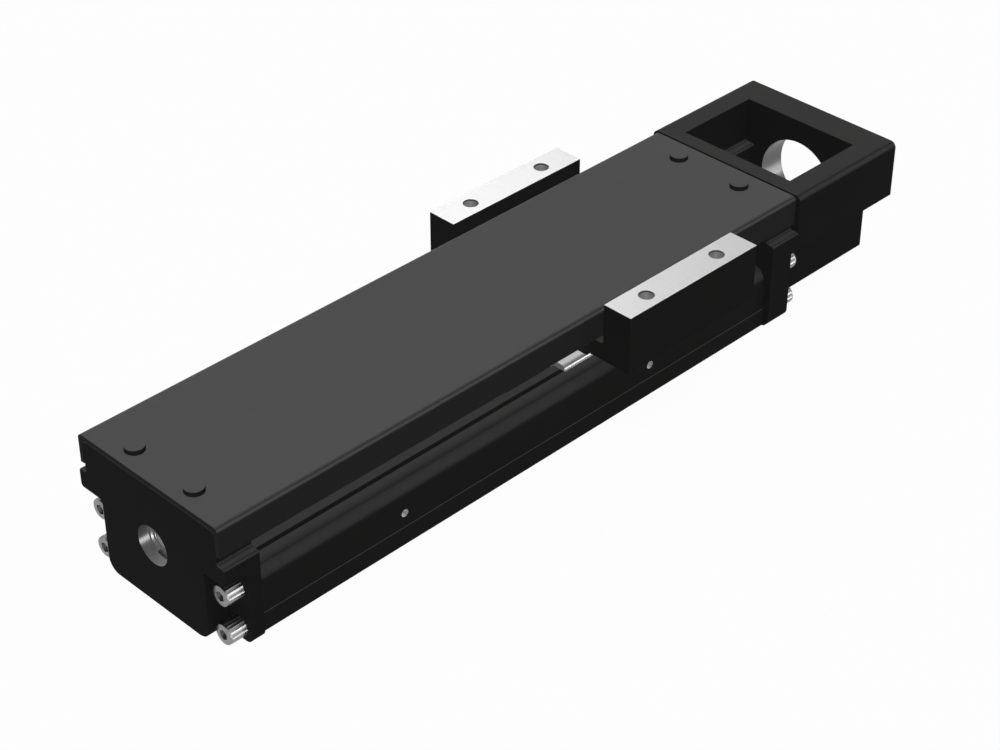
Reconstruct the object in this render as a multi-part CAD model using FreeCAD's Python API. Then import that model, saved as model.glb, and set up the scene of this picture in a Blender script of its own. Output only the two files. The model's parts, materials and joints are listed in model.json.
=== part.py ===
import FreeCAD, Part
import math
import os

# Ball screw linear module: a U-shaped steel rail closed by a sheet cover, with a screw-driven carriage.
# Millimetres. +X runs along the rail towards the motor end, +Z is up, the origin is under the middle.

Vector = FreeCAD.Vector

# Main lengths and the screw's place
rail_length = 218.0
front_housing_depth = 12.3
motor_housing_depth = 63.7
screw_height = 21.7
carriage_rest_gap = 52.4

# General clearances, and how far a cut passes beyond the face it opens
seat_clearance = 0.02
screw_hole_clearance = 0.05
bolt_hole_clearance = 0.25
running_gap = 0.3
overcut = 1.0

# Rail section
rail_width = 60.0
rail_shoulder_height = 21.8
rail_shoulder_radius = 5.0
rail_lip_width = 45.8
rail_lip_height = 23.5
rail_channel_width = 40.0
rail_floor = 8.0
rail_foot_height = 6.6
rail_foot_step = 0.3
rail_bottom_chamfer = 0.2

# Rail holes
base_hole_pitch = 100.0
base_hole_spacing = 28.0
base_hole_diameter = 5.5
base_counterbore_diameter = 9.5
base_counterbore_depth = 4.5
sensor_hole_pitch = 106.2
sensor_hole_height = 11.5
sensor_hole_diameter = 2.5
sensor_hole_depth = 6.0

# Ball tracks between rail and slide block
track_height = 15.5
track_inset = 0.25
guide_ball_diameter = 3.5
guide_ball_count = 8
guide_ball_end_margin = 8.0

# End housings
ear_width = 64.6
ear_bottom = 25.0
ledge_height = 31.6
ear_corner_radius = 1.4
ledge_edge_radius = 1.0
ledge_root_radius = 1.0
head_edge_radius = 2.0
head_front_chamfer = 0.25
boss_root_radius = 1.0
flange_corner_radius = 3.0
front_boss_width = 45.4
front_boss_corner_radius = 4.5
front_flange_thickness = 4.6
motor_boss_width = 44.6
motor_boss_corner_radius = 0.8
motor_flange_thickness = 10.0

# Motor housing
neck_length = 12.8
motor_block_width = 64.1
motor_block_height = 45.0
motor_block_ear_bottom = 24.6
motor_block_edge_radius = 2.2
window_start = 18.6
window_width = 45.6
chamber_width = 38.4
chamber_ledge_height = 28.6
chamber_ledge_radius = 1.0
chamber_root_radius = 1.0
chamber_floor = 4.5
end_wall_thickness = 10.6
hood_overhang = 1.0
motor_recess_height = 42.0
motor_pilot_diameter = 30.0
motor_bolt_circle = 46.0
motor_bolt_hole_diameter = 3.3
motor_bolt_hole_depth = 8.0
motor_bolt_count = 4
motor_bolt_angle = 45.0

# Sheet cover
cover_width = 61.5
cover_height = 44.8
cover_wall = 1.6
cover_skirt_bottom = 34.7
cover_edge_radius = 1.75
cover_gap = 0.6
cover_fit = 0.1
cover_screw_spacing = 26.2
cover_screw_front_inset = 6.6
cover_screw_rear_inset = 4.2
cover_screw_head_diameter = 6.2
cover_screw_head_height = 1.6
cover_screw_diameter = 3.0
cover_screw_reach = 8.0

# Housing bolts into the rail's ends
housing_bolt_spacing = 53.8
housing_bolt_heights = (4.3, 18.3)
housing_bolt_diameter = 4.0
housing_bolt_head_diameter = 6.8
housing_bolt_head_height = 5.9
housing_bolt_socket = 3.0
housing_bolt_socket_depth = 2.6
housing_bolt_reach = 8.0

# Ball screw
screw_diameter = 12.0
screw_end_relief = 0.5
screw_end_chamfer = 0.4
rear_shoulder_diameter = 11.0
coupling_journal_diameter = 6.0
coupling_journal_length = 12.0

# Front bearing, in the open bore of the front housing
front_bearing_inset = 4.2
front_bearing_width = 5.0
front_bearing_bore = 6.0
front_bearing_diameter = 13.0
front_ball_diameter = 2.0
front_ball_count = 8
front_seat_hole_diameter = 10.0
front_journal_proud = 0.6
shield_thickness = 0.3
snap_ring_thickness = 0.7
snap_ring_groove = 0.4
snap_ring_width = 1.3
snap_ring_gap_angle = 50.0

# Rear bearing pair, in the motor housing
rear_bearing_width = 7.0
rear_bearing_bore = 8.0
rear_bearing_diameter = 22.0
rear_ball_diameter = 3.4
rear_ball_count = 9
rear_seat_wall = 2.5
rear_seat_hole_diameter = 17.0
race_depth_share = 0.18
lock_nut_width = 6.0
lock_nut_diameter = 14.0
lock_nut_slot = 2.0
lock_nut_slot_count = 4
spacer_diameter = 11.2
retainer_diameter = 31.0
retainer_thickness = 3.0
retainer_hole_diameter = 15.2

# Slide block and nut
block_length = 76.7
block_top = 26.0
block_wing_width = 51.0
block_wing_gap = 0.6
block_wing_radius = 1.4
block_side_gap = 0.5
block_floor_gap = 1.2
nut_diameter = 20.0
nut_housing_wall = 2.8
wiper_width = 4.0
end_plate_thickness = 5.0
end_plate_inset = 0.3
end_seal_thickness = 1.5
grease_nipple_height = 5.0
grease_nipple_tip_height = 2.0
grease_nipple_diameter = 4.5
grease_port_diameter = 2.5
grease_port_floor = 1.0
grease_nipple_inset = 4.5

# Carriage table, which passes under the cover's skirts
table_length = 58.4
table_top = 47.7
bar_outer_width = 86.8
bar_inner_width = 65.2
bar_bottom = 27.4
bar_edge_chamfer = 0.4
arm_top = 33.4
arm_root_radius = 1.0
arch_wall = 3.2
arch_gap = 0.5
table_hole_pitch = 32.5
table_hole_spacing = 76.0
table_hole_diameter = 4.2
table_hole_depth = 14.0
table_hole_chamfer = 0.5

# Rubber stoppers round the screw, one on each housing
stopper_length = 4.0
stopper_gap = 1.0
stopper_wall = 3.5

# Stations along the length
total_length = front_housing_depth + rail_length + motor_housing_depth
front_x = -total_length / 2
rail_start = front_x + front_housing_depth
rail_end = rail_start + rail_length
rear_x = rail_end + motor_housing_depth
rail_middle = (rail_start + rail_end) / 2
motor_block_start = rail_end + neck_length
cover_end = motor_block_start - cover_gap
chamber_start = rail_end + window_start
boss_end = rear_x - hood_overhang
chamber_end = boss_end - end_wall_thickness
front_bearing_start = front_x + front_bearing_inset
front_bearing_end = front_bearing_start + front_bearing_width
rear_bearing_start = rail_end + rear_seat_wall
rear_bearing_end = rear_bearing_start + 2 * rear_bearing_width
carriage_x = rail_end - carriage_rest_gap
block_front = carriage_x - block_length / 2
block_rear = carriage_x + block_length / 2

# Half widths and heights that several pieces share
rail_half = rail_width / 2
channel_half = rail_channel_width / 2
ear_half = ear_width / 2
cover_inner_top = cover_height - cover_wall
head_half = cover_width / 2 - cover_wall - cover_fit
track_y = channel_half - track_inset
track_radius = guide_ball_diameter / 2 + running_gap
hump_radius = nut_diameter / 2 + nut_housing_wall
block_half = channel_half - block_side_gap
block_bottom = rail_floor + block_floor_gap
wing_bottom = rail_lip_height + block_wing_gap
arch_radius = hump_radius + arch_gap
bolt_places = [(side * housing_bolt_spacing / 2, z) for side in (-1, 1) for z in housing_bolt_heights]
cover_screw_places = [
    (x, side * cover_screw_spacing / 2)
    for x in (front_x + cover_screw_front_inset, rail_end + cover_screw_rear_inset)
    for side in (-1, 1)
]


# Shape helpers. Coordinates closer than this count as the same.
same_place = 1e-4


def prism(outline, start, end):
    """Extrudes a closed outline of (y, z) points along X."""
    points = [Vector(start, y, z) for y, z in outline]
    face = Part.Face(Part.makePolygon(points + points[:1]))
    return face.extrude(Vector(end - start, 0, 0))


def mirrored(half):
    """Closes an outline of (y, z) points with y >= 0 by its mirror image."""
    return half + [(-y, z) for y, z in reversed(half) if y > 0]


def block(x0, x1, y0, y1, z0, z1):
    return Part.makeBox(x1 - x0, y1 - y0, z1 - z0, Vector(x0, y0, z0))


def rod(x0, x1, diameter, y=0.0, z=screw_height):
    """A cylinder along X."""
    return Part.makeCylinder(diameter / 2, x1 - x0, Vector(x0, y, z), Vector(1, 0, 0))


def tube(x0, x1, outer, inner, y=0.0, z=screw_height):
    return rod(x0, x1, outer, y, z).cut(rod(x0 - overcut, x1 + overcut, inner, y, z))


def post(x, y, z0, z1, diameter):
    """A cylinder along Z."""
    return Part.makeCylinder(diameter / 2, z1 - z0, Vector(x, y, z0), Vector(0, 0, 1))


def hexagon_rod(x0, x1, flats, y, z):
    radius = flats / 2 / math.cos(math.pi / 6)
    turns = [k * math.pi / 3 for k in range(6)]
    return prism([(y + radius * math.cos(t), z + radius * math.sin(t)) for t in turns], x0, x1)


def long_edges(shape, places):
    """The edges along X that pass through one of the (|y|, z) places."""
    found = []
    for edge in shape.Edges:
        box = edge.BoundBox
        if box.YLength > same_place or box.ZLength > same_place:
            continue
        for y, z in places:
            if abs(abs(box.YMin) - y) < same_place and abs(box.ZMin - z) < same_place:
                found.append(edge)
    return found


def rounded(shape, radius, places):
    return shape.makeFillet(radius, long_edges(shape, places))


def bevelled(shape, size, places):
    return shape.makeChamfer(size, long_edges(shape, places))


def bevel_end(shape, size, x, lowest=0.0):
    """Chamfers the edges that lie in the plane at x, from the height lowest upwards."""
    rims = []
    for edge in shape.Edges:
        box = edge.BoundBox
        in_plane = box.XLength < same_place and abs(box.XMin - x) < same_place
        if in_plane and box.ZMin > lowest - same_place:
            rims.append(edge)
    return shape.makeChamfer(size, rims)


def on_circle(diameter, count, start_angle):
    """Points (y, z) spread round the screw's axis."""
    angles = [math.radians(start_angle + 360.0 * k / count) for k in range(count)]
    return [(diameter / 2 * math.cos(a), screw_height + diameter / 2 * math.sin(a)) for a in angles]


def ball(diameter, x, y, z):
    """A ball with few faces, because balls repeat often: three rings of corners between two poles."""
    sides = 8
    radius = diameter / 2
    centre = Vector(x, y, z)
    rings = []
    for level in (-math.pi / 4, 0, math.pi / 4):
        turns = [2 * math.pi * k / sides for k in range(sides)]
        reach = radius * math.cos(level)
        rise = radius * math.sin(level)
        rings.append([centre + Vector(reach * math.cos(t), reach * math.sin(t), rise) for t in turns])
    south = centre - Vector(0, 0, radius)
    north = centre + Vector(0, 0, radius)
    outlines = []
    for k in range(sides):
        after = (k + 1) % sides
        outlines.append([south, rings[0][after], rings[0][k]])
        outlines.append([north, rings[-1][k], rings[-1][after]])
        for low, high in zip(rings, rings[1:]):
            outlines.append([low[k], low[after], high[after], high[k]])
    faces = [Part.Face(Part.makePolygon(points + points[:1])) for points in outlines]
    return Part.makeSolid(Part.makeShell(faces))


def group(solids):
    return Part.makeCompound(solids)


# Rail and housings

def make_base_rail():
    foot_half = rail_half - rail_foot_step
    half = [
        (0, 0), (rail_half, 0), (rail_half, rail_foot_height), (foot_half, rail_foot_height),
        (foot_half, rail_shoulder_height), (rail_lip_width / 2, rail_shoulder_height),
        (rail_lip_width / 2, rail_lip_height), (channel_half, rail_lip_height),
        (channel_half, rail_floor), (0, rail_floor),
    ]
    rail = prism(mirrored(half), rail_start, rail_end)
    rail = rounded(rail, rail_shoulder_radius, [(foot_half, rail_shoulder_height)])
    rail = bevelled(rail, rail_bottom_chamfer, [(rail_half, 0)])
    cuts = []
    for side in (-1, 1):
        cuts.append(rod(rail_start, rail_end, 2 * track_radius, side * track_y, track_height))
        for end in (-1, 1):
            x = rail_middle + end * base_hole_pitch / 2
            y = side * base_hole_spacing / 2
            cuts.append(post(x, y, -overcut, rail_floor + overcut, base_hole_diameter))
            seat = rail_floor - base_counterbore_depth
            cuts.append(post(x, y, seat, rail_floor + overcut, base_counterbore_diameter))
            sensor_x = rail_middle + end * sensor_hole_pitch / 2
            mouth = Vector(sensor_x, side * (rail_half + overcut), sensor_hole_height)
            depth = sensor_hole_depth + rail_foot_step + overcut
            cuts.append(Part.makeCylinder(sensor_hole_diameter / 2, depth, mouth, Vector(0, -side, 0)))
    tapped = housing_bolt_diameter + 2 * screw_hole_clearance
    for y, z in bolt_places:
        cuts.append(rod(rail_start - overcut, rail_start + housing_bolt_reach + overcut, tapped, y, z))
        cuts.append(rod(rail_end - housing_bolt_reach - overcut, rail_end + overcut, tapped, y, z))
    return rail.cut(group(cuts))


def housing_section(boss_width, boss_radius, start, end):
    """Boss, ears and cover seat of an end housing, with their rounded edges."""
    boss_half = boss_width / 2
    half = [
        (0, 0), (boss_half, 0), (boss_half, ear_bottom), (ear_half, ear_bottom), (ear_half, ledge_height),
        (head_half, ledge_height), (head_half, cover_inner_top), (0, cover_inner_top),
    ]
    body = prism(mirrored(half), start, end)
    body = rounded(body, boss_radius, [(boss_half, 0)])
    body = rounded(body, ear_corner_radius, [(ear_half, ear_bottom)])
    body = rounded(body, ledge_edge_radius, [(ear_half, ledge_height)])
    body = rounded(body, ledge_root_radius, [(head_half, ledge_height)])
    body = rounded(body, head_edge_radius, [(head_half, cover_inner_top)])
    return rounded(body, boss_root_radius, [(boss_half, ear_bottom)])


def housing_flange(start, end):
    flange_top = (ear_bottom + ledge_height) / 2
    flange = block(start, end, -ear_half, ear_half, 0, flange_top)
    return rounded(flange, flange_corner_radius, [(ear_half, 0)])


def cover_screw_holes(places):
    diameter = cover_screw_diameter + 2 * screw_hole_clearance
    bottom = cover_inner_top - cover_screw_reach - overcut
    return [post(x, y, bottom, cover_inner_top + overcut, diameter) for x, y in places]


def make_front_housing():
    body = housing_section(front_boss_width, front_boss_corner_radius, front_x, rail_start)
    body = bevel_end(body, head_front_chamfer, front_x, cover_inner_top - head_edge_radius)
    body = body.fuse(housing_flange(rail_start - front_flange_thickness, rail_start)).removeSplitter()
    bolt_hole = housing_bolt_diameter + 2 * bolt_hole_clearance
    groove_end = front_bearing_start
    cuts = [rod(front_x - overcut, rail_start + overcut, bolt_hole, y, z) for y, z in bolt_places]
    cuts += cover_screw_holes(cover_screw_places[:2])
    cuts.append(rod(front_x - overcut, front_bearing_end, front_bearing_diameter + 2 * seat_clearance))
    cuts.append(rod(front_x - overcut, rail_start + overcut, front_seat_hole_diameter))
    cuts.append(rod(groove_end - snap_ring_thickness - 2 * seat_clearance, groove_end,
                    front_bearing_diameter + 2 * snap_ring_groove))
    return body.cut(group(cuts))


def make_motor_block():
    """The tall block with the coupling window, its boss and the hood over the motor's flange."""
    block_half_width = motor_block_width / 2
    hood = block(motor_block_start, rear_x, -block_half_width, block_half_width,
                 motor_block_ear_bottom, motor_block_height)
    hood = rounded(hood, motor_block_edge_radius, [(block_half_width, motor_block_height)])
    boss = block(rail_end, boss_end, -motor_boss_width / 2, motor_boss_width / 2, 0, ear_bottom)
    boss = rounded(boss, motor_boss_corner_radius, [(motor_boss_width / 2, 0)])
    recess_half = window_width / 2
    recess = block(boss_end, rear_x + overcut, -recess_half, recess_half, -overcut, motor_recess_height)
    return hood.fuse(boss).cut(recess)


def make_chamber():
    """The space for the coupling: a wide window above a narrower pocket with a rounded ledge."""
    half = [
        (0, chamber_floor), (chamber_width / 2, chamber_floor), (chamber_width / 2, chamber_ledge_height),
        (window_width / 2, chamber_ledge_height), (window_width / 2, motor_block_height + overcut),
        (0, motor_block_height + overcut),
    ]
    space = prism(mirrored(half), chamber_start, chamber_end)
    space = rounded(space, chamber_ledge_radius, [(chamber_width / 2, chamber_ledge_height)])
    return rounded(space, chamber_root_radius, [(window_width / 2, chamber_ledge_height)])


def make_motor_housing():
    body = housing_section(motor_boss_width, motor_boss_corner_radius, rail_end, motor_block_start)
    body = body.fuse([housing_flange(rail_end, rail_end + motor_flange_thickness), make_motor_block()])
    body = body.removeSplitter().cut(make_chamber())
    bolt_hole = housing_bolt_diameter + 2 * bolt_hole_clearance
    flange_rear = rail_end + motor_flange_thickness
    cuts = [rod(rail_end - overcut, flange_rear + overcut, bolt_hole, y, z) for y, z in bolt_places]
    cuts += cover_screw_holes(cover_screw_places[2:])
    bearing_seat = rear_bearing_diameter + 2 * seat_clearance
    cuts.append(rod(rear_bearing_start, chamber_start + overcut, bearing_seat))
    cuts.append(rod(rail_end - overcut, rear_bearing_start + overcut, rear_seat_hole_diameter))
    cuts.append(rod(chamber_end - overcut, rear_x + overcut, motor_pilot_diameter))
    for y, z in on_circle(motor_bolt_circle, motor_bolt_count, motor_bolt_angle):
        hole_floor = boss_end - motor_bolt_hole_depth
        cuts.append(rod(hole_floor, boss_end + overcut, motor_bolt_hole_diameter, y, z))
    return body.cut(group(cuts))


# Cover and its screws

def make_top_cover():
    outer = block(front_x, cover_end, -cover_width / 2, cover_width / 2, cover_skirt_bottom, cover_height)
    outer = rounded(outer, cover_edge_radius, [(cover_width / 2, cover_height)])
    inner_half = cover_width / 2 - cover_wall
    inner = block(front_x - overcut, cover_end + overcut, -inner_half, inner_half,
                  cover_skirt_bottom - overcut, cover_inner_top)
    inner = rounded(inner, head_edge_radius, [(inner_half, cover_inner_top)])
    hole = cover_screw_diameter + 2 * bolt_hole_clearance
    holes = [post(x, y, cover_inner_top, cover_height + overcut, hole) for x, y in cover_screw_places]
    return outer.cut(group([inner] + holes))


def make_cover_screws():
    solids = []
    for x, y in cover_screw_places:
        head = post(x, y, cover_height, cover_height + cover_screw_head_height, cover_screw_head_diameter)
        shank = post(x, y, cover_inner_top - cover_screw_reach, cover_height, cover_screw_diameter)
        solids.append(head.fuse(shank).removeSplitter())
    return group(solids)


# Housing bolts. Direction 1 points from the head into the rail along +X, -1 along -X.

def socket_bolt(seat, direction, grip, y, z):
    """A socket head bolt whose head bears on the plane at seat."""
    crown = seat - direction * housing_bolt_head_height
    tip = seat + direction * grip
    socket_floor = crown + direction * housing_bolt_socket_depth
    head = rod(min(crown, seat), max(crown, seat), housing_bolt_head_diameter, y, z)
    head = bevel_end(head, screw_end_chamfer, crown)
    shank = rod(min(seat, tip), max(seat, tip), housing_bolt_diameter, y, z)
    outside = crown - direction * overcut
    socket = hexagon_rod(min(outside, socket_floor), max(outside, socket_floor), housing_bolt_socket, y, z)
    return head.fuse(shank).removeSplitter().cut(socket)


front_flange_face = rail_start - front_flange_thickness
motor_flange_face = rail_end + motor_flange_thickness


def make_front_housing_bolts():
    grip = front_flange_thickness + housing_bolt_reach
    return group([socket_bolt(front_flange_face, 1, grip, y, z) for y, z in bolt_places])


def make_motor_housing_bolts():
    grip = motor_flange_thickness + housing_bolt_reach
    return group([socket_bolt(motor_flange_face, -1, grip, y, z) for y, z in bolt_places])


# Bearings

def bearing_radii(bore, diameter, ball_diameter):
    """Middle radius of the balls, outer radius of the inner ring, inner radius of the outer ring."""
    middle = (bore + diameter) / 4
    reach = ball_diameter / 2 - race_depth_share * ball_diameter
    return middle, middle - reach, middle + reach


def outer_ring(start, width, bore, diameter, ball_diameter):
    middle, _, inner = bearing_radii(bore, diameter, ball_diameter)
    groove = ball_diameter / 2 + screw_hole_clearance
    x = start + width / 2
    race = rod(x - groove, x + groove, 2 * (middle + groove))
    return tube(start, start + width, diameter, 2 * inner).cut(race)


def inner_ring(start, width, bore, diameter, ball_diameter):
    middle, outer, _ = bearing_radii(bore, diameter, ball_diameter)
    groove = ball_diameter / 2 + running_gap
    x = start + width / 2
    race = tube(x - groove, x + groove, 2 * (outer + overcut), 2 * (middle - groove))
    return tube(start, start + width, 2 * outer, bore + 2 * seat_clearance).cut(race)


def bearing_balls(x, bore, diameter, ball_diameter, count):
    middle = bearing_radii(bore, diameter, ball_diameter)[0]
    return [ball(ball_diameter, x, y, z) for y, z in on_circle(2 * middle, count, 0)]


front_bearing = (front_bearing_bore, front_bearing_diameter, front_ball_diameter)
rear_bearing = (rear_bearing_bore, rear_bearing_diameter, rear_ball_diameter)
rear_bearing_starts = [rear_bearing_start + k * rear_bearing_width for k in range(2)]


def make_front_bearing_shields():
    _, inner, outer = bearing_radii(*front_bearing)
    bore = 2 * (inner + running_gap)
    rim = 2 * (outer - seat_clearance)
    front = tube(front_bearing_start, front_bearing_start + shield_thickness, rim, bore)
    rear = tube(front_bearing_end - shield_thickness, front_bearing_end, rim, bore)
    return group([front, rear])


def make_front_snap_ring():
    end = front_bearing_start - seat_clearance
    start = end - snap_ring_thickness
    outer = front_bearing_diameter + 2 * (snap_ring_groove - screw_hole_clearance)
    inner = outer - 2 * snap_ring_width
    ring = tube(start, end, outer, inner)
    reach = outer * math.tan(math.radians(snap_ring_gap_angle / 2))
    centre = (0.0, screw_height)
    corners = [centre, (reach, screw_height - outer), (-reach, screw_height - outer)]
    return ring.cut(prism(corners, start - overcut, end + overcut))


def make_rear_bearing_balls():
    balls = []
    for start in rear_bearing_starts:
        balls += bearing_balls(start + rear_bearing_width / 2, *rear_bearing, rear_ball_count)
    return group(balls)


def make_bearing_retainer():
    spigot_diameter = rear_bearing_diameter - 2 * screw_hole_clearance
    spigot = rod(rear_bearing_end, chamber_start, spigot_diameter)
    plate_face = chamber_start + retainer_thickness
    plate = bevel_end(rod(chamber_start, plate_face, retainer_diameter), screw_end_chamfer, plate_face)
    hole = rod(rear_bearing_end - overcut, plate_face + overcut, retainer_hole_diameter)
    return spigot.fuse(plate).removeSplitter().cut(hole)


# Screw

lock_nut_start = chamber_start
lock_nut_end = lock_nut_start + lock_nut_width
screw_tip = lock_nut_end + coupling_journal_length


def make_ball_screw():
    front_tip = front_bearing_start - front_journal_proud
    front_shoulder = 2 * bearing_radii(*front_bearing)[1]
    thread_start = rail_start + screw_end_relief
    thread_end = rail_end - screw_end_relief
    radii = [
        (front_tip, front_bearing_bore / 2), (front_bearing_end, front_bearing_bore / 2),
        (front_bearing_end, front_shoulder / 2), (thread_start, front_shoulder / 2),
        (thread_start, screw_diameter / 2), (thread_end, screw_diameter / 2),
        (thread_end, rear_shoulder_diameter / 2), (rear_bearing_start, rear_shoulder_diameter / 2),
        (rear_bearing_start, rear_bearing_bore / 2), (lock_nut_end, rear_bearing_bore / 2),
        (lock_nut_end, coupling_journal_diameter / 2), (screw_tip, coupling_journal_diameter / 2),
    ]
    rim = [(front_tip, 0)] + radii + [(screw_tip, 0)]
    points = [Vector(x, 0, screw_height + r) for x, r in rim]
    half_section = Part.Face(Part.makePolygon(points + points[:1]))
    shaft = half_section.revolve(Vector(0, 0, screw_height), Vector(1, 0, 0), 360)
    shaft = bevel_end(shaft, screw_end_chamfer, front_tip)
    return bevel_end(shaft, screw_end_chamfer, screw_tip)


def make_bearing_spacer():
    return tube(rear_bearing_end, lock_nut_start, spacer_diameter, rear_bearing_bore + 2 * seat_clearance)


def make_lock_nut():
    nut = tube(lock_nut_start, lock_nut_end, lock_nut_diameter, rear_bearing_bore + 2 * seat_clearance)
    depth = lock_nut_slot / 2
    slot_start = lock_nut_start + lock_nut_width / 2
    slot_end = lock_nut_end + overcut
    slots = []
    for y, z in on_circle(lock_nut_diameter, lock_nut_slot_count, 0):
        slots.append(block(slot_start, slot_end, y - depth, y + depth, z - depth, z + depth))
    return nut.cut(group(slots))


def stopper(start):
    inner = screw_diameter + 2 * stopper_gap
    return tube(start, start + stopper_length, inner + 2 * stopper_wall, inner)


# Carriage

def block_outline(half_width, bottom, top, wing_half):
    """Outline of the slide block below its nut housing: a body in the channel and wings over the rail."""
    return mirrored([
        (0, bottom), (half_width, bottom), (half_width, wing_bottom), (wing_half, wing_bottom),
        (wing_half, top), (0, top),
    ])


hump_top = screw_height + hump_radius
nipple_x = block_front + grease_nipple_inset


def make_slide_block():
    wing_half = block_wing_width / 2
    body = prism(block_outline(block_half, block_bottom, block_top, wing_half), block_front, block_rear)
    body = rounded(body, block_wing_radius, [(wing_half, block_top)])
    body = body.fuse(rod(block_front, block_rear, 2 * hump_radius)).removeSplitter()
    cuts = [rod(block_front - overcut, block_rear + overcut, nut_diameter + 2 * seat_clearance)]
    groove = guide_ball_diameter + 2 * screw_hole_clearance
    for side in (-1, 1):
        cuts.append(rod(block_front - overcut, block_rear + overcut, groove, side * track_y, track_height))
    port = grease_port_diameter + 2 * seat_clearance
    cuts.append(post(nipple_x, 0, screw_height, hump_top + overcut, port))
    return body.cut(group(cuts))


def make_ball_nut():
    inner = screw_diameter + 2 * running_gap
    return tube(block_front + wiper_width, block_rear - wiper_width, nut_diameter, inner)


def make_screw_wipers():
    inner = screw_diameter + 2 * running_gap
    front = tube(block_front, block_front + wiper_width, nut_diameter, inner)
    rear = tube(block_rear - wiper_width, block_rear, nut_diameter, inner)
    return group([front, rear])


def make_guide_balls():
    first = block_front + guide_ball_end_margin
    pitch = (block_length - 2 * guide_ball_end_margin) / (guide_ball_count - 1)
    return group([
        ball(guide_ball_diameter, first + k * pitch, side * track_y, track_height)
        for side in (-1, 1) for k in range(guide_ball_count)
    ])


def end_piece(start, end, inset, lips):
    """A plate across the channel, shaped like the block's end. Lips reach into the ball tracks."""
    half_width = block_half - inset
    body = block(start, end, -half_width, half_width, block_bottom + inset, block_top - inset)
    body = body.fuse(rod(start, end, 2 * (hump_radius - inset))).removeSplitter()
    if lips:
        tongues = [rod(start, end, guide_ball_diameter, side * track_y, track_height) for side in (-1, 1)]
        body = body.fuse(tongues).removeSplitter()
    return body.cut(rod(start - overcut, end + overcut, screw_diameter + 2 * running_gap))


front_plate_face = block_front - end_plate_thickness
rear_plate_face = block_rear + end_plate_thickness
front_seal_face = front_plate_face - end_seal_thickness
rear_seal_face = rear_plate_face + end_seal_thickness


def make_grease_nipple():
    tip_start = hump_top + grease_nipple_height - grease_nipple_tip_height
    stem_bottom = screw_height + nut_diameter / 2 + grease_port_floor
    stem = post(nipple_x, 0, stem_bottom, hump_top, grease_port_diameter)
    body = post(nipple_x, 0, hump_top, tip_start, grease_nipple_diameter)
    tip = Part.makeCone(grease_nipple_diameter / 2, grease_port_diameter / 2, grease_nipple_tip_height,
                        Vector(nipple_x, 0, tip_start), Vector(0, 0, 1))
    return stem.fuse([body, tip]).removeSplitter()


# Carriage table

def make_carriage_table():
    bar_out = bar_outer_width / 2
    bar_in = bar_inner_width / 2
    step_y = block_wing_width / 2 + arch_gap
    start = carriage_x - table_length / 2
    end = carriage_x + table_length / 2
    half = [
        (0, block_top), (step_y, block_top), (step_y, bar_bottom), (bar_out, bar_bottom),
        (bar_out, table_top), (bar_in, table_top), (bar_in, arm_top), (0, arm_top),
    ]
    body = prism(mirrored(half), start, end)
    body = rounded(body, arm_root_radius, [(bar_in, arm_top)])
    body = bevelled(body, bar_edge_chamfer, [(bar_out, bar_bottom)])
    arch_top = rod(start, end, 2 * (arch_radius + arch_wall))
    below = block(start - overcut, end + overcut, -ear_half, ear_half, 0, block_top)
    body = body.fuse(arch_top.cut(below)).removeSplitter()
    cuts = [rod(start - overcut, end + overcut, 2 * arch_radius)]
    for x_side in (-1, 1):
        for side in (-1, 1):
            x = carriage_x + x_side * table_hole_pitch / 2
            y = side * table_hole_spacing / 2
            cuts.append(post(x, y, table_top - table_hole_depth, table_top + overcut, table_hole_diameter))
            radius = table_hole_diameter / 2
            cuts.append(Part.makeCone(radius, radius + table_hole_chamfer, table_hole_chamfer,
                                      Vector(x, y, table_top - table_hole_chamfer), Vector(0, 0, 1)))
    return body.cut(group(cuts))


# All pieces, by node name

pieces = {
    "base_rail": make_base_rail(),
    "front_housing": make_front_housing(),
    "motor_housing": make_motor_housing(),
    "top_cover": make_top_cover(),
    "cover_screws": make_cover_screws(),
    "front_housing_bolts": make_front_housing_bolts(),
    "motor_housing_bolts": make_motor_housing_bolts(),
    "front_bearing_outer_ring": outer_ring(front_bearing_start, front_bearing_width, *front_bearing),
    "front_bearing_inner_ring": inner_ring(front_bearing_start, front_bearing_width, *front_bearing),
    "front_bearing_balls": group(bearing_balls(
        front_bearing_start + front_bearing_width / 2, *front_bearing, front_ball_count)),
    "front_bearing_shields": make_front_bearing_shields(),
    "front_snap_ring": make_front_snap_ring(),
    "rear_bearing_outer_rings": group([
        outer_ring(x, rear_bearing_width, *rear_bearing) for x in rear_bearing_starts]),
    "rear_bearing_inner_rings": group([
        inner_ring(x, rear_bearing_width, *rear_bearing) for x in rear_bearing_starts]),
    "rear_bearing_balls": make_rear_bearing_balls(),
    "bearing_retainer": make_bearing_retainer(),
    "bearing_spacer": make_bearing_spacer(),
    "lock_nut": make_lock_nut(),
    "ball_screw": make_ball_screw(),
    "front_stopper": stopper(rail_start),
    "rear_stopper": stopper(rail_end - stopper_length),
    "slide_block": make_slide_block(),
    "ball_nut": make_ball_nut(),
    "screw_wipers": make_screw_wipers(),
    "guide_balls": make_guide_balls(),
    "front_end_plate": end_piece(front_plate_face, block_front, end_plate_inset, False),
    "rear_end_plate": end_piece(block_rear, rear_plate_face, end_plate_inset, False),
    "front_end_seal": end_piece(front_seal_face, front_plate_face, end_plate_inset, True),
    "rear_end_seal": end_piece(rear_plate_face, rear_seal_face, end_plate_inset, True),
    "grease_nipple": make_grease_nipple(),
    "carriage_table": make_carriage_table(),
}

os.makedirs("parts", exist_ok=True)
for name, shape in pieces.items():
    shape.exportStep("parts/" + name + ".step")
    print(name, len(shape.Solids), shape.isValid(), round(shape.Volume, 1))
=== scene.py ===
import json
import math

import bmesh
import bpy
from mathutils import Matrix, Vector


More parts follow.
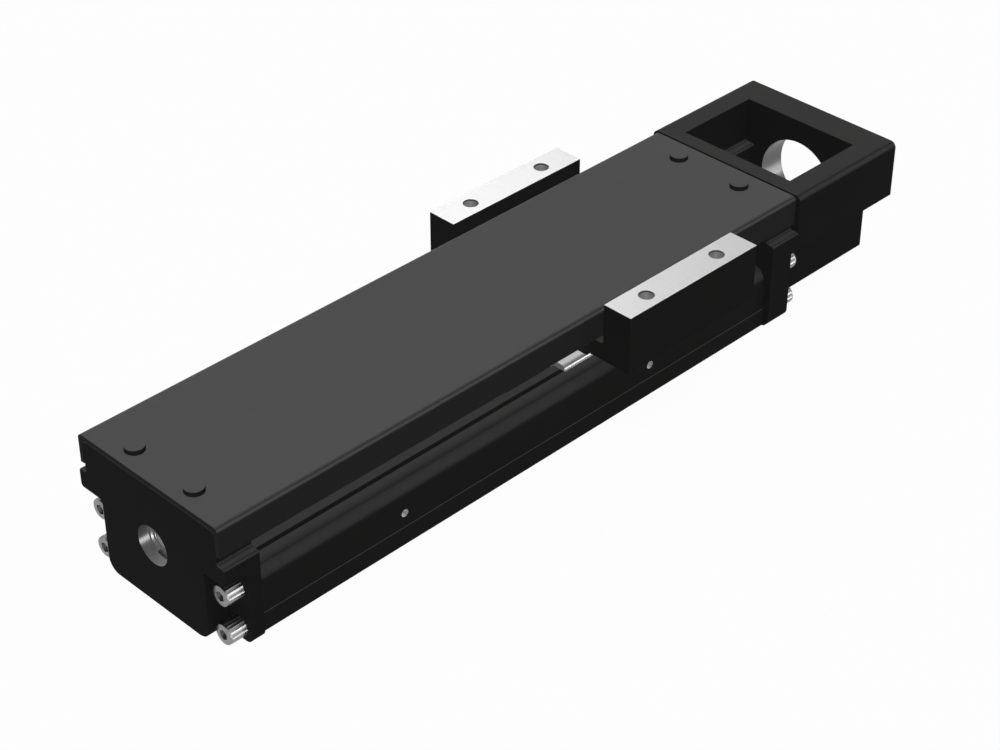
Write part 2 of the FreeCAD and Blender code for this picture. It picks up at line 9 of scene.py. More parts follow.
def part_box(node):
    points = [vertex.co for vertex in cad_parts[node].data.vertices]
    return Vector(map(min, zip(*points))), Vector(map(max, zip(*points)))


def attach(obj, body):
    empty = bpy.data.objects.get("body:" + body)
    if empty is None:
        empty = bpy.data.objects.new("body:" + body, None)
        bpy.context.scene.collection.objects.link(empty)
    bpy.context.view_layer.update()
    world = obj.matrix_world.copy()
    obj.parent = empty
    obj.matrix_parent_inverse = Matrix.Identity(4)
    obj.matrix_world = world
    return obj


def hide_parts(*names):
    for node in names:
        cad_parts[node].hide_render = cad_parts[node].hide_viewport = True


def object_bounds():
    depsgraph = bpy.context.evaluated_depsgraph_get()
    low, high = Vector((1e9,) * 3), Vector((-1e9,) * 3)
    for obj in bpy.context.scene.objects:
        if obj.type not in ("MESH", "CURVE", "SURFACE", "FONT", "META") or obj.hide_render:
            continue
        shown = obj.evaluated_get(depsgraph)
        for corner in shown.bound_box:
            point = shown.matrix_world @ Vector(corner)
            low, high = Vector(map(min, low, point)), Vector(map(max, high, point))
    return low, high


# Ball screw linear module. Metres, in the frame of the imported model: +X to the motor end, +Z up.

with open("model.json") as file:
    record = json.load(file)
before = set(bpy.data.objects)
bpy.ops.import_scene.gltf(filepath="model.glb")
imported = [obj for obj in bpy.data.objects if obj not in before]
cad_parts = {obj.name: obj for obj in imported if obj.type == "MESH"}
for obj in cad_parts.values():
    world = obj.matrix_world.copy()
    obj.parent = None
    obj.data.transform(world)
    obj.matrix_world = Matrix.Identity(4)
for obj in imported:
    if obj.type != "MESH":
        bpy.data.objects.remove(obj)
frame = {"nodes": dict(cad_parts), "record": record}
cad_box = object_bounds()
nodes = frame["nodes"]
mounts = {mount["name"]: mount for mount in frame["record"]["mounts"]}
MM = 0.001

# Places read from the frame
rail_low, rail_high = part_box("base_rail")
front_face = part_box("front_housing")[0].x
table_low, table_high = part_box("carriage_table")
screw_height = mounts["motor_pilot"]["pos_m"][2]


# Materials

class Signal:
    """An output socket that is used like a number. Each operation adds a Math node."""

    def __init__(self, paint, socket):
        self.paint = paint
        self.socket = socket

    def math(self, operation, first, second):
        return self.paint.node("ShaderNodeMath", {"operation": operation}, {0: first, 1: second})

    def __add__(self, other):
        return self.math("ADD", self, other)

    __radd__ = __add__

    def __sub__(self, other):
        return self.math("SUBTRACT", self, other)

    def __rsub__(self, other):
        return self.math("SUBTRACT", other, self)

    def __mul__(self, other):
        return self.math("MULTIPLY", self, other)

    __rmul__ = __mul__

    def __pow__(self, other):
        return self.math("POWER", self, other)

    def __lt__(self, other):
        return self.math("LESS_THAN", self, other)

    def __gt__(self, other):
        return self.math("GREATER_THAN", self, other)

    def __abs__(self):
        return self.math("ABSOLUTE", self, 0.0)

    def __or__(self, other):
        return self.math("MAXIMUM", self, other)


class Paint:
    """Adds nodes to one node tree, which it empties first."""

    def __init__(self, tree):
        self.tree = tree
        tree.nodes.clear()

    def node(self, kind, settings=None, inputs=None, output=0):
        made = self.tree.nodes.new(kind)
        for name, value in (settings or {}).items():
            setattr(made, name, value)
        for name, value in (inputs or {}).items():
            if isinstance(value, Signal):
                self.tree.links.new(value.socket, made.inputs[name])
            else:
                made.inputs[name].default_value = value
        return Signal(self, made.outputs[output]) if made.outputs else None

    def place(self):
        """The point on the piece, as three signals."""
        return self.parts(self.node("ShaderNodeTexCoord", output="Object"))

    def parts(self, vector):
        """The X, Y and Z of a vector."""
        return [self.node("ShaderNodeSeparateXYZ", None, {0: vector}, axis) for axis in range(3)]

    def noise(self, size, stretch=(1.0, 1.0, 1.0), detail=3.0):
        """Noise whose spots are about size wide, longer along an axis by its stretch."""
        point = self.node("ShaderNodeTexCoord", output="Object")
        scale = [1.0 / (size * longer) for longer in stretch]
        moved = self.node("ShaderNodeMapping", None, {"Vector": point, "Scale": scale})
        return self.node("ShaderNodeTexNoise", None, {"Vector": moved, "Scale": 1.0, "Detail": detail})

    def blend(self, share, first, second):
        return self.node("ShaderNodeMix", {"data_type": "RGBA"}, {0: share, 6: first, 7: second}, 2)

    def bump(self, height, depth):
        return self.node("ShaderNodeBump", None, {"Height": height, "Distance": depth, "Strength": 1.0})

    def surface(self, **inputs):
        names = {name.replace("_", " "): value for name, value in inputs.items()}
        shader = self.node("ShaderNodeBsdfPrincipled", None, names)
        self.node("ShaderNodeOutputMaterial", None, {"Surface": shader})


def grey(level, tint=(1.0, 1.0, 1.0)):
    return (level * tint[0], level * tint[1], level * tint[2], 1.0)


def new_paint(name):
    material = bpy.data.materials.new(name)
    material.use_nodes = True
    return material, Paint(material.node_tree)


def distance(first, second):
    return (first ** 2 + second ** 2) ** 0.5


def nowhere(paint):
    """For a finish without bare metal."""
    return 0.0


def spread(level, share, tint=(1.0, 1.0, 1.0)):
    """A darker and a lighter grey, a share below and above the level."""
    return grey(level * (1.0 - share), tint), grey(level * (1.0 + share), tint)


# Painted highlight on rounded edges: the coat is painted lighter where the surface leans as a highlight would
# fall. Degrees that the surface leans from level where it is lightest, and how far from there it still has
# the full painted highlight and none at all.
black_edge_highlight = {"lean": 52.0, "full": 4.0, "none": 25.0}
sheet_edge_highlight = {"lean": 54.0, "full": 8.0, "none": 17.0}
highlight_patches = 0.4
highlight_patch_size = 7.0 * MM


def facing(paint):
    """How far the surface faces sideways and how far it faces up."""
    x, y, z = paint.parts(paint.node("ShaderNodeTexCoord", output="Normal"))
    return distance(x, y), z


def painted_edge_highlight(paint, highlight_band):
    """Painted highlight mask: 1 on rounded upper edges that lean towards the highlight and 0 on flat faces, a
    little patchy along the edge.
    """
    lean, full, none = [math.radians(highlight_band[name]) for name in ("lean", "full", "none")]
    sideways, up = facing(paint)
    closeness = sideways * math.sin(lean) + up * math.cos(lean)
    limits = {"Value": closeness, "From Min": math.cos(none), "From Max": math.cos(full)}
    share = paint.node("ShaderNodeMapRange", {"clamp": True}, limits)
    return share * (1.0 - highlight_patches / 2 + highlight_patches * paint.noise(highlight_patch_size, detail=2.0))


# Levels of the coats and of bare metal, and how much of the light they mirror
black_level = 0.037
# The rail's coat is painted a little lighter than the other black coat: painted light standing in for the
# light the cover keeps off it
rail_lit_level = 0.042
# Painted highlight colour of the black coat's rounded edges
black_highlight_level = 0.12
black_gloss = 0.003
sheet_level = 0.075
# Painted shade: the walls of the cover and of its screws are painted darker than the top
skirt_shaded_level = 0.062
screw_wall_shaded_level = 0.040
# Painted highlight colour of the sheet's rounded edges
sheet_highlight_level = 0.19
sheet_gloss = 0.003
bare_metal = 0.6
plain_metal_level = 0.30
# The rail's holes and tracks have machined metal painted lighter than plain machined metal: painted light in
# the holes
rail_hole_lit_level = 0.60
bar_top_level = 0.50
front_bore_level = 0.28
# The pilot bore's machined metal is painted darker than plain machined metal: painted shade inside the bore
pilot_bore_shaded_level = 0.16
steel_gloss = 0.1
soft_gloss = 0.10

# How much the tone varies, the sizes of clouds, grain and tool marks, and the depth of the grain
coat_variation = 0.06
lay_variation = 0.10
sheet_variation = 0.08
soft_variation = 0.15
coat_cloud = 22.0 * MM
coat_grain = 0.45 * MM
coat_grain_depth = 0.008 * MM
machined_lay = 0.4 * MM
machined_stretch = (1.0, 30.0, 30.0)
sheet_cloud = 45.0 * MM
sheet_line = 0.22 * MM
sheet_stretch = (60.0, 1.0, 1.0)
sheet_line_depth = 0.005 * MM
steel_cloud = 9.0 * MM
steel_mark = 0.18 * MM
steel_mark_depth = 0.004 * MM
ground_stretch = (1.0, 40.0, 1.0)
bolt_stretch = (25.0, 1.0, 1.0)
bolt_mark = 0.9 * MM
soft_cloud = 12.0 * MM
soft_grain = 0.3 * MM
soft_grain_depth = 0.02 * MM

# Share of fine lines and marks in the tone, against clouds, and how far a wall of the sheet faces up at most;
# such walls get painted shade
sheet_line_share = 0.4
steel_mark_share = 0.7
shaded_wall_limit = 0.5

# Roughness, and how much the grain or the marks add to it
coat_roughness = 0.36
coat_grain_roughness = 0.10
machined_drop = 0.11
sheet_roughness = 0.34
mark_roughness = 0.12
soft_grain_roughness = 0.1

cool = (0.98, 1.0, 1.03)
warm = (1.03, 1.0, 0.96)
plain = (1.0, 1.0, 1.0)
brass_tint = (1.0, 0.76, 0.36)
rubber_colour = (0.02, 0.02, 0.02)
plastic_colour = (0.05, 0.10, 0.07)


def black_finish(name, bare=nowhere, metal_level=plain_metal_level, level=black_level):
    """Satin black coat with a painted highlight on rounded edges, with machined metal where bare says 1."""
    material, paint = new_paint(name)
    cloud = paint.noise(coat_cloud, detail=2.0)
    fine = paint.noise(coat_grain, detail=4.0)
    lay = paint.noise(machined_lay, machined_stretch)
    dark = grey(level * (1.0 - coat_variation), cool)
    light = grey(level * (1.0 + coat_variation), warm)
    coat = paint.blend(cloud, dark, light)
    # Painted highlight on rounded edges
    coat = paint.blend(painted_edge_highlight(paint, black_edge_highlight), coat, grey(black_highlight_level))
    metal = paint.blend(lay, *spread(metal_level, lay_variation))
    share = bare(paint)
    colour = paint.blend(share, coat, metal)
    grain = fine * (1.0 - share)
    roughness = coat_roughness + coat_grain_roughness * grain - machined_drop * share
    paint.surface(Base_Color=colour, Metallic=bare_metal * share, Roughness=roughness,
                  Specular_IOR_Level=black_gloss, Normal=paint.bump(grain, coat_grain_depth))
    return material


def sheet_finish(name, shaded_wall_level):
    """Anodised sheet: a fine grain along the length, with painted shade making the walls darker than the top,
    and a painted highlight on rounded edges.
    """
    material, paint = new_paint(name)
    cloud = paint.noise(sheet_cloud, detail=2.0)
    lines = paint.noise(sheet_line, sheet_stretch, 2.0)
    share = (1.0 - sheet_line_share) * cloud + sheet_line_share * lines
    top = paint.blend(share, *spread(sheet_level, sheet_variation))
    shaded_wall = paint.blend(share, *spread(shaded_wall_level, sheet_variation))
    up = facing(paint)[1]
    # Painted shade: surfaces that face up less than the limit take the darker wall colour
    colour = paint.blend(up < shaded_wall_limit, top, shaded_wall)
    # Painted highlight on rounded edges
    colour = paint.blend(painted_edge_highlight(paint, sheet_edge_highlight), colour, grey(sheet_highlight_level))
    paint.surface(Base_Color=colour, Roughness=sheet_roughness + mark_roughness * lines,
                  Specular_IOR_Level=sheet_gloss, Normal=paint.bump(lines, sheet_line_depth))
    return material


def steel_finish(name, level, roughness, stretch=plain, tint=plain, contrast=lay_variation, mark=steel_mark,
                 metal=1.0):
    """Bright metal with a lay of marks along the stretched axis."""
    material, paint = new_paint(name)
    lay = paint.noise(mark, stretch, 2.0)
    cloud = paint.noise(steel_cloud, detail=2.0)
    share = steel_mark_share * lay + (1.0 - steel_mark_share) * cloud
    colour = paint.blend(share, *spread(level, contrast, tint))
    paint.surface(Base_Color=colour, Metallic=metal, Roughness=roughness + mark_roughness * lay,
                  Specular_IOR_Level=steel_gloss, Normal=paint.bump(lay, steel_mark_depth))
    return material


def soft_finish(name, colour, roughness):
    """Rubber or moulded plastic with a fine matt grain."""
    material, paint = new_paint(name)
    fine = paint.noise(soft_grain, detail=4.0)
    cloud = paint.noise(soft_cloud)
    tone = paint.blend(cloud, *spread(1.0, soft_variation, colour))
    paint.surface(Base_Color=tone, Roughness=roughness + soft_grain_roughness * fine,
                  Specular_IOR_Level=soft_gloss, Normal=paint.bump(fine, soft_grain_depth))
    return material


# Where the black coat gives way to machined metal, and how far in it reaches at the blind holes
edge = 0.04 * MM
track_gap = 0.3 * MM
sensor_hole_reach = 7.0 * MM
table_hole_reach = 15.0 * MM


def rail_bare(paint):
    """The sensor holes and the ground ball tracks."""
    x, y, z = paint.place()
    sensor = mounts["sensor_holes_right"]
    along = abs(abs(x - sensor["pos_m"][0]) - sensor["dims"]["spacing_x_mm"] / 2 * MM)
    hole = distance(along, z - sensor["pos_m"][2]) < sensor["dims"]["hole_r_mm"] * MM + edge
    hole = hole * (abs(y) > abs(sensor["pos_m"][1]) - sensor_hole_reach)
    balls_low, balls_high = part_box("guide_balls")
    ball_radius = (balls_high.z - balls_low.z) / 2
    track = distance(abs(y) - (balls_high.y - ball_radius), z - (balls_low.z + ball_radius))
    return hole | (track < ball_radius + track_gap + edge)


def front_bare(paint):
    """The bearing's bore, but not the housing's front face round it."""
    x, y, z = paint.place()
    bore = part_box("front_snap_ring")[1].y
    return (distance(y, z - screw_height) < bore + edge) * (x > front_face + edge)


def motor_bare(paint):
    """The motor's pilot bore and the seat of the rear bearings."""
    x, y, z = paint.place()
    pilot = mounts["motor_pilot"]
    wall_start = pilot["pos_m"][0] - pilot["dims"]["length_mm"] / 2 * MM - edge
    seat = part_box("rear_bearing_outer_rings")[1].y
    out = distance(y, z - screw_height)
    return (out < pilot["dims"]["r_mm"] * MM + edge) * (x > wall_start) | (out < seat + edge)


def table_bare(paint):
    """The holes and the ground tops of the bars."""
    x, y, z = paint.place()
    holes = mounts["table_bolts"]
    along = abs(abs(x - holes["pos_m"][0]) - holes["dims"]["spacing_x_mm"] / 2 * MM)
    across = abs(abs(y) - holes["dims"]["spacing_y_mm"] / 2 * MM)
    hole = distance(along, across) < holes["dims"]["hole_r_mm"] * MM + edge
    hole = hole * (z > table_high.z - table_hole_reach)
    return hole | (z > table_high.z - edge)


# Finishes by material slot, then those of the pieces that differ from their slot
finishes = {
    "black_rail": black_finish("black_rail", rail_bare, rail_hole_lit_level, rail_lit_level),
    "black_housing": black_finish("black_housing"),
    "grey_cover": sheet_finish("grey_cover", skirt_shaded_level),
    "cover_screw": sheet_finish("cover_screw", screw_wall_shaded_level),
    "black_table": black_finish("black_table", table_bare, bar_top_level),
    "ground_steel": steel_finish("ground_steel", level=0.66, roughness=0.24, stretch=ground_stretch,
                                 metal=0.6),
    "bearing_steel": steel_finish("bearing_steel", level=0.40, roughness=0.24, metal=0.7),
    "bright_bolt": steel_finish("bright_bolt", level=0.24, roughness=0.28, stretch=bolt_stretch, contrast=0.6,
                                mark=bolt_mark),
    "dark_steel": steel_finish("dark_steel", level=0.08, roughness=0.38),
    "black_rubber": soft_finish("black_rubber", rubber_colour, roughness=0.65),
    "green_plastic": soft_finish("green_plastic", plastic_colour, roughness=0.45),
    "brass_fitting": steel_finish("brass_fitting", level=0.78, roughness=0.25, tint=brass_tint),
}
special = {
    "front_housing": black_finish("front_housing_black", front_bare, front_bore_level),
    # Motor housing whose pilot bore has painted shade
    "motor_housing": black_finish("motor_housing_black", motor_bare, pilot_bore_shaded_level),
    "slide_block": steel_finish("slide_block_ground", level=0.70, roughness=0.30, stretch=ground_stretch,
                                metal=0.2),
}


def new_object(name, shape):
    """Turns a bmesh into an object of the scene."""
    mesh = bpy.data.meshes.new(name)
    shape.to_mesh(mesh)
    shape.free()
    made = bpy.data.objects.new(name, mesh)
    bpy.context.scene.collection.objects.link(made)
    return made


def dress(piece, material):
    piece.data.materials.clear()
    piece.data.materials.append(material)


# Shape helpers. Turned pieces are made upright on +Z and then stood in their places.
same_point = 0.001 * MM
knurl_press = 0.95
sharp_angle = math.radians(35.0)
screw_steps = 36


def parts_of(geometry, kind):
    return [part for part in geometry if isinstance(part, kind)]


def turned(profile, steps=48):
    """A shell turned round +Z from a line of (radius, height) points, open where the line stops short."""
    shape = bmesh.new()
    points = [shape.verts.new((radius, 0, height)) for radius, height in profile]
    lines = [shape.edges.new(pair) for pair in zip(points, points[1:])]
    bmesh.ops.spin(shape, geom=points + lines, axis=(0, 0, 1), cent=(0, 0, 0), angle=math.tau, steps=steps,
                   use_merge=True)
    bmesh.ops.remove_doubles(shape, verts=shape.verts, dist=same_point)
    return shape


def sink(shape, rim, depth):
    """Extrudes a rim down by depth and closes it with a flat floor."""
    made = bmesh.ops.extrude_edge_only(shape, edges=rim)["geom"]
    points = parts_of(made, bmesh.types.BMVert)
    bmesh.ops.translate(shape, vec=(0, 0, -depth), verts=points)
    lines = parts_of(made, bmesh.types.BMEdge)
    floor_rim = [line for line in lines if all(point in points for point in line.verts)]
    bmesh.ops.contextual_create(shape, geom=floor_rim)


def socket_screw(head_radius, head_height, flats, socket_depth, shank_radius, shank_length, teeth=0):
    """A screw with a hexagon socket. Its head stands on the plane z = 0 and its shank goes down."""
    mouth = 0.62 * head_radius
    soft = 0.12 * head_radius
    round_over = 0.3 * soft
    shape = turned([
        (0, -shank_length), (shank_radius - soft, -shank_length), (shank_radius, soft - shank_length),
        (shank_radius, 0), (head_radius, 0), (head_radius, head_height - 2 * soft),
        (head_radius, head_height - soft), (head_radius - round_over, head_height - round_over),
        (head_radius - soft, head_height), (mouth, head_height),
    ], steps=max(2 * teeth, screw_steps))
    if teeth:
        knurl(shape, head_radius, teeth)
    rim = [line for line in shape.edges if line.is_boundary]
    corner = flats / 2 / math.cos(math.pi / 6)
    hexagon = bmesh.ops.create_circle(shape, cap_ends=False, radius=corner, segments=6)["verts"]
    bmesh.ops.translate(shape, vec=(0, 0, head_height), verts=hexagon)
    sides = list({line for point in hexagon for line in point.link_edges})
    bmesh.ops.bridge_loops(shape, edges=rim + sides)
    sink(shape, sides, socket_depth)
    bmesh.ops.recalc_face_normals(shape, faces=shape.faces)
    return shape


def knurl(shape, radius, teeth):
    """Presses every second line of the head's side in a little."""
    pressed = []
    for point in shape.verts:
        turn = math.atan2(point.co.y, point.co.x) / math.tau * 2 * teeth
        if abs(point.co.xy.length - radius) < same_point and round(turn) % 2:
            pressed.append(point)
    bmesh.ops.scale(shape, vec=(knurl_press, knurl_press, 1.0), verts=pressed)


def stand(point, direction):
    """The move that takes a shape made on +Z to a point, with its top towards a direction."""
    turn = Vector(direction).to_track_quat("Z", "Y").to_matrix().to_4x4()
    return Matrix.Translation(point) @ turn


def repeat(shape, places):
    """Copies a shape made at the origin to every place."""
    first = list(shape.verts) + list(shape.edges) + list(shape.faces)
    for place in places[1:]:
        copy = bmesh.ops.duplicate(shape, geom=first)["geom"]
        bmesh.ops.transform(shape, matrix=place, verts=parts_of(copy, bmesh.types.BMVert))
    bmesh.ops.transform(shape, matrix=places[0], verts=parts_of(first, bmesh.types.BMVert))
    return shape


def add_piece(name, shape, body, slot, stands_for=None):
    """Puts a finished shape on a body, with the finish of a slot."""
    piece = new_object(name, shape)
    piece.data.shade_smooth()
    piece.data.set_sharp_from_angle(angle=sharp_angle)
    dress(piece, finishes[slot])
    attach(piece, body)
    if stands_for:
        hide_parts(stands_for)


for subpart in frame["record"]["subparts"]:
    node = subpart["node"]
    dress(nodes[node], special.get(node, finishes[subpart["material_slot"]]))


# Housing bolts, with knurled heads

bolt_head_radius = 3.4 * MM
bolt_head_height = 5.9 * MM
bolt_radius = 2.0 * MM
bolt_flats = 3.0 * MM
bolt_socket_depth = 2.6 * MM
bolt_teeth = 20


def make_housing_bolts(node, head_direction):
    low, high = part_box(node)
    crown = low.x if head_direction < 0 else high.x
    seat = crown - head_direction * bolt_head_height
    reach = high.x - low.x - bolt_head_height
    across = high.y - bolt_head_radius
    places = []
    for y in (-across, across):
        for z in (low.z + bolt_head_radius, high.z - bolt_head_radius):
            places.append(stand((seat, y, z), (head_direction, 0, 0)))
    shape = socket_screw(bolt_head_radius, bolt_head_height, bolt_flats, bolt_socket_depth, bolt_radius,
                         reach, bolt_teeth)
    add_piece(node + "_knurled", repeat(shape, places), "base", "bright_bolt", node)


make_housing_bolts("front_housing_bolts", -1)
make_housing_bolts("motor_housing_bolts", 1)


# Small screws that hold the inner pieces. Their other measures are shares of the head's radius or height.
flats_share = 0.85
socket_share = 0.55
shank_share = 0.52
reach_share = 2.2


def make_small_screws(name, body, radius, height, points, direction, slot):
    """Low socket screws at the points, with their heads on the face and their shanks in the metal."""
    shape = socket_screw(radius, height, flats_share * radius, socket_share * height, shank_share * radius,
                         reach_share * radius)
    add_piece(name, repeat(shape, [stand(point, direction) for point in points]), body, slot)


def round_points(x, radius, count, start):
    angles = [start + k * math.tau / count for k in range(count)]
    return [(x, radius * math.cos(angle), screw_height + radius * math.sin(angle)) for angle in angles]


retainer_screw_radius = 1.9 * MM
retainer_screw_height = 1.2 * MM
retainer_screw_circle = 12.2 * MM
retainer_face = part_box("bearing_retainer")[1].x
retainer_points = round_points(retainer_face, retainer_screw_circle, 4, math.pi / 4)
make_small_screws("retainer_screws", "base", retainer_screw_radius, retainer_screw_height, retainer_points,
                  (1, 0, 0), "bright_bolt")

table_screw_radius = 2.2 * MM
table_screw_height = 0.9 * MM
table_screw_x = 20.0 * MM
table_screw_y = 22.0 * MM
plate_top = 33.4 * MM
table_middle = (table_low.x + table_high.x) / 2
table_points = [(table_middle + x, y, plate_top)
                for x in (-table_screw_x, table_screw_x) for y in (-table_screw_y, table_screw_y)]
make_small_screws("table_screws", "carriage", table_screw_radius, table_screw_height, table_points,
                  (0, 0, 1), "dark_steel")

end_screw_radius = 1.5 * MM
end_screw_height = 0.7 * MM
end_screw_side = 15.5 * MM
end_screw_levels = (12.5 * MM, 22.5 * MM)
for end, direction in (("front", -1), ("rear", 1)):
    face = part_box(end + "_end_seal")[(direction + 1) // 2].x
    points = [(face, y, z) for y in (-end_screw_side, end_screw_side) for z in end_screw_levels]
    make_small_screws(end + "_end_plate_screws", "carriage", end_screw_radius, end_screw_height, points,
                      (direction, 0, 0), "dark_steel")


# Smooth balls of the bearings and of the slide block

def make_balls(node, body, diameter, points):
    shape = bmesh.new()
    bmesh.ops.create_icosphere(shape, subdivisions=3, radius=diameter / 2)
    places = [Matrix.Translation(point) for point in points]
    add_piece(node + "_smooth", repeat(shape, places), body, "bearing_steel", node)


def ring_of_balls(node, rows, count, diameter):
    low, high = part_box(node)
    middle_radius = high.y - diameter / 2
    first = low.x + diameter / 2
    last = high.x - diameter / 2
    stations = [first + (last - first) * k / max(rows - 1, 1) for k in range(rows)]
    return [point for x in stations for point in round_points(x, middle_radius, count, 0.0)]


front_ball = 2.0 * MM
rear_ball = 3.4 * MM
guide_ball = 3.5 * MM
front_ball_count = 8
rear_ball_count = 9
guide_ball_count = 8
front_points = ring_of_balls("front_bearing_balls", 1, front_ball_count, front_ball)
rear_points = ring_of_balls("rear_bearing_balls", 2, rear_ball_count, rear_ball)
make_balls("front_bearing_balls", "base", front_ball, front_points)
make_balls("rear_bearing_balls", "base", rear_ball, rear_points)

guide_low, guide_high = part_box("guide_balls")
guide_first = guide_low.x + guide_ball / 2
guide_pitch = (guide_high.x - guide_low.x - guide_ball) / (guide_ball_count - 1)
guide_side = guide_high.y - guide_ball / 2
guide_height = (guide_low.z + guide_high.z) / 2
guide_points = [(guide_first + k * guide_pitch, y, guide_height)
                for y in (-guide_side, guide_side) for k in range(guide_ball_count)]
make_balls("guide_balls", "carriage", guide_ball, guide_points)


# Ball screw with its thread

screw_lead = 10.0 * MM
thread_radius = 6.0 * MM
groove_radius = 1.4 * MM
groove_depth = 0.9 * MM
thread_relief = 0.5 * MM
thread_steps = 48
groove_points = 7


def make_thread(start, end):
    """One lead of the profile, land and round groove, wound along the screw and cut square at both ends."""
    shape = bmesh.new()
    half_angle = math.acos(1.0 - groove_depth / groove_radius)
    centre = thread_radius + groove_radius - groove_depth
    profile = [(-screw_lead / 2, thread_radius)]
    for k in range(groove_points):
        angle = half_angle * (2 * k / (groove_points - 1) - 1)
        profile.append((groove_radius * math.sin(angle), centre - groove_radius * math.cos(angle)))
    profile.append((screw_lead / 2, thread_radius))
    first = start - screw_lead
    points = [shape.verts.new((first + x, 0, screw_height + radius)) for x, radius in profile]
    lines = [shape.edges.new(pair) for pair in zip(points, points[1:])]
    turns = math.ceil((end - start) / screw_lead) + 2
    bmesh.ops.spin(shape, geom=points + lines, axis=(1, 0, 0), cent=(0, 0, screw_height),
                   angle=turns * math.tau, steps=turns * thread_steps, dvec=(screw_lead / thread_steps, 0, 0))
    bmesh.ops.remove_doubles(shape, verts=shape.verts, dist=same_point)
    for x, side in ((start, -1), (end, 1)):
        geometry = list(shape.verts) + list(shape.edges) + list(shape.faces)
        cut = bmesh.ops.bisect_plane(shape, geom=geometry, plane_co=(x, 0, 0), plane_no=(side, 0, 0),
                                     clear_outer=True)["geom_cut"]
        bmesh.ops.contextual_create(shape, geom=parts_of(cut, bmesh.types.BMEdge))
    bmesh.ops.recalc_face_normals(shape, faces=shape.faces)
    return shape


def make_journal(name, profile):
    """A stepped round end of the screw, from (radius, place along X) points."""
    shape = turned(profile)
    bmesh.ops.recalc_face_normals(shape, faces=shape.faces)
    bmesh.ops.transform(shape, matrix=stand((0, 0, screw_height), (1, 0, 0)), verts=shape.verts)
    add_piece(name, shape, "screw", "ground_steel")


screw_low, screw_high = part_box("ball_screw")
front_ring_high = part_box("front_bearing_inner_ring")[1]
rear_ring_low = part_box("rear_bearing_inner_rings")[0]
lock_nut_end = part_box("lock_nut")[1].x
thread_start = rail_low.x + thread_relief
thread_end = rail_high.x - thread_relief
front_journal_radius = 3.0 * MM
rear_shoulder_radius = 5.5 * MM
rear_journal_radius = 4.0 * MM
coupling_radius = 3.0 * MM
end_chamfer = 0.4 * MM

add_piece("ball_screw_thread", make_thread(thread_start, thread_end), "screw", "ground_steel", "ball_screw")
make_journal("ball_screw_front_journal", [
    (0, screw_low.x), (front_journal_radius - end_chamfer, screw_low.x),
    (front_journal_radius, screw_low.x + end_chamfer), (front_journal_radius, front_ring_high.x),
    (front_ring_high.y, front_ring_high.x), (front_ring_high.y, thread_start), (0, thread_start),
])
make_journal("ball_screw_rear_journal", [
    (0, thread_end), (rear_shoulder_radius, thread_end), (rear_shoulder_radius, rear_ring_low.x),
    (rear_journal_radius, rear_ring_low.x), (rear_journal_radius, lock_nut_end),
    (coupling_radius, lock_nut_end), (coupling_radius, screw_high.x - end_chamfer),
    (coupling_radius - end_chamfer, screw_high.x), (0, screw_high.x),
])


# Floor, light and camera

def make_floor():
    shape = bmesh.new()
    bmesh.ops.create_grid(shape, x_segments=1, y_segments=1, size=floor_half)
    bmesh.ops.translate(shape, verts=shape.verts, vec=(0, 0, cad_box[0].z - floor_drop))
    floor = new_object("floor", shape)
    material, paint = new_paint("pale_floor")
    lit = paint.node("ShaderNodeBsdfDiffuse", None, {"Color": grey(floor_level)})
    card = paint.node("ShaderNodeBsdfDiffuse", None, {"Color": grey(card_level)})
    white = paint.node("ShaderNodeEmission", None, {"Color": grey(1.0), "Strength": 1.0})
    seen = paint.node("ShaderNodeMixShader", None, {0: floor_white, 1: card, 2: white})
    shown = paint.node("ShaderNodeMixShader", None, {0: background_rays(paint), 1: lit, 2: seen})
    paint.node("ShaderNodeOutputMaterial", None, {"Surface": shown})
    dress(floor, material)


def background_rays(paint):
    """1 for rays that show the background: to the camera, in metal and through glass."""
    rays = [paint.node("ShaderNodeLightPath", output=name)
            for name in ("Is Camera Ray", "Is Glossy Ray", "Is Transmission Ray")]
    return rays[0] | rays[1] | rays[2]


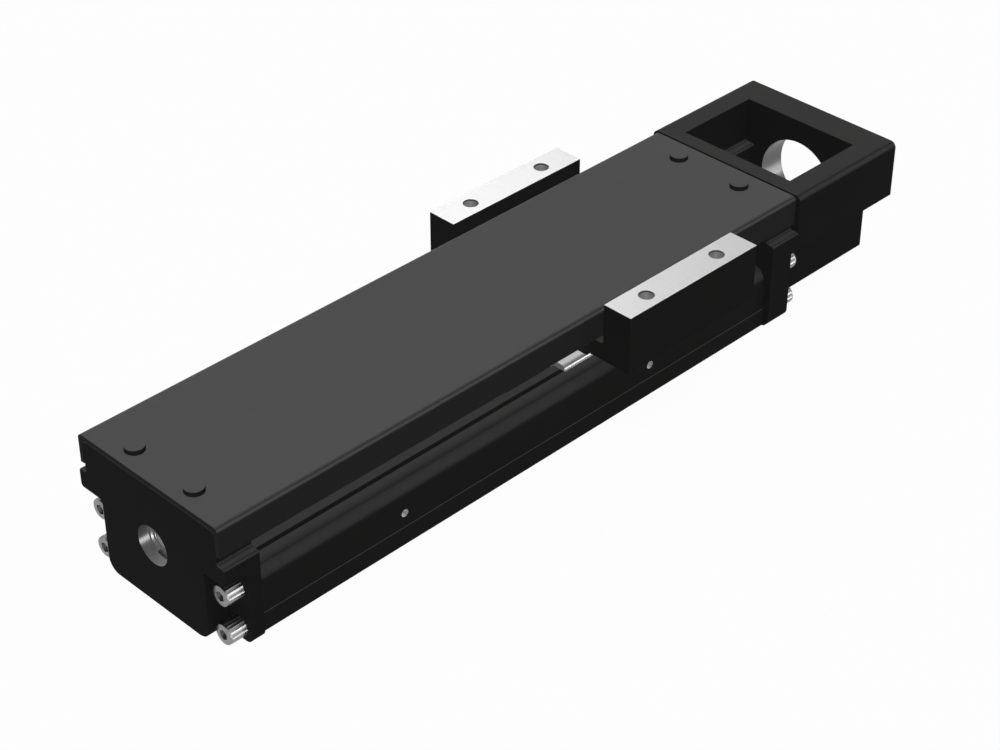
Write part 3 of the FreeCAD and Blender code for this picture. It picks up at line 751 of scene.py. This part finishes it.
def make_world():
    world = bpy.data.worlds.new("studio")
    bpy.context.scene.world = world
    world.use_nodes = True
    paint = Paint(world.node_tree)
    around = paint.node("ShaderNodeBackground", None, {"Color": grey(1.0), "Strength": fill_level})
    white = paint.node("ShaderNodeBackground", None, {"Color": grey(1.0), "Strength": 1.0})
    shown = paint.node("ShaderNodeMixShader", None, {0: background_rays(paint), 1: around, 2: white})
    paint.node("ShaderNodeOutputWorld", None, {"Surface": shown})


def make_lamp(name, direction, width, strength, in_reflections=False, shadows=True):
    """A far lamp that looks width degrees wide, seen either by matt surfaces or in reflections."""
    data = bpy.data.lights.new(name, "SUN")
    data.angle = math.radians(width)
    data.energy = strength
    data.use_shadow = shadows
    lamp = bpy.data.objects.new(name, data)
    bpy.context.scene.collection.objects.link(lamp)
    lamp.rotation_euler = Vector(direction).to_track_quat("Z", "Y").to_euler()
    lamp.visible_diffuse = not in_reflections
    lamp.visible_glossy = in_reflections


# The floor's size, how far it lies below the module, and the levels of floor and surroundings
floor_half = 30.0
floor_drop = 0.1 * MM
floor_level = 0.08
card_level = 0.90
floor_white = 0.85
fill_level = 0.05

make_floor()
make_world()

# Lamps by the direction they stand in. The last two show only in reflections.
make_lamp("soft_key", (1.0, 1.25, 0.95), width=20.0, strength=4.5, shadows=False)
make_lamp("overhead", (0.0, 0.0, 1.0), width=60.0, strength=0.3)
make_lamp("front_fill", (-1.0, -1.0, 1.0), width=20.0, strength=0.72, shadows=False)
make_lamp("low_card", (0.58, -0.81, -0.09), width=18.0, strength=1.6, in_reflections=True, shadows=False)
make_lamp("top_sheen", (1.0, 1.11, 0.92), width=12.0, strength=0.085, in_reflections=True, shadows=False)

# Camera fitted to the photo, which looks along the diagonal of a cube
camera_data = bpy.data.cameras.new("camera")
camera_data.lens = 84.364
camera_data.sensor_width = 36.0
camera_data.clip_start = 0.01
camera = bpy.data.objects.new("camera", camera_data)
bpy.context.scene.collection.objects.link(camera)
camera.location = (-0.436141, -0.426108, 0.437511)
camera.rotation_euler = Vector((1.0, 1.0, -1.0)).to_track_quat("-Z", "Y").to_euler()
bpy.context.scene.camera = camera
bpy.context.scene.view_settings.view_transform = "Standard"
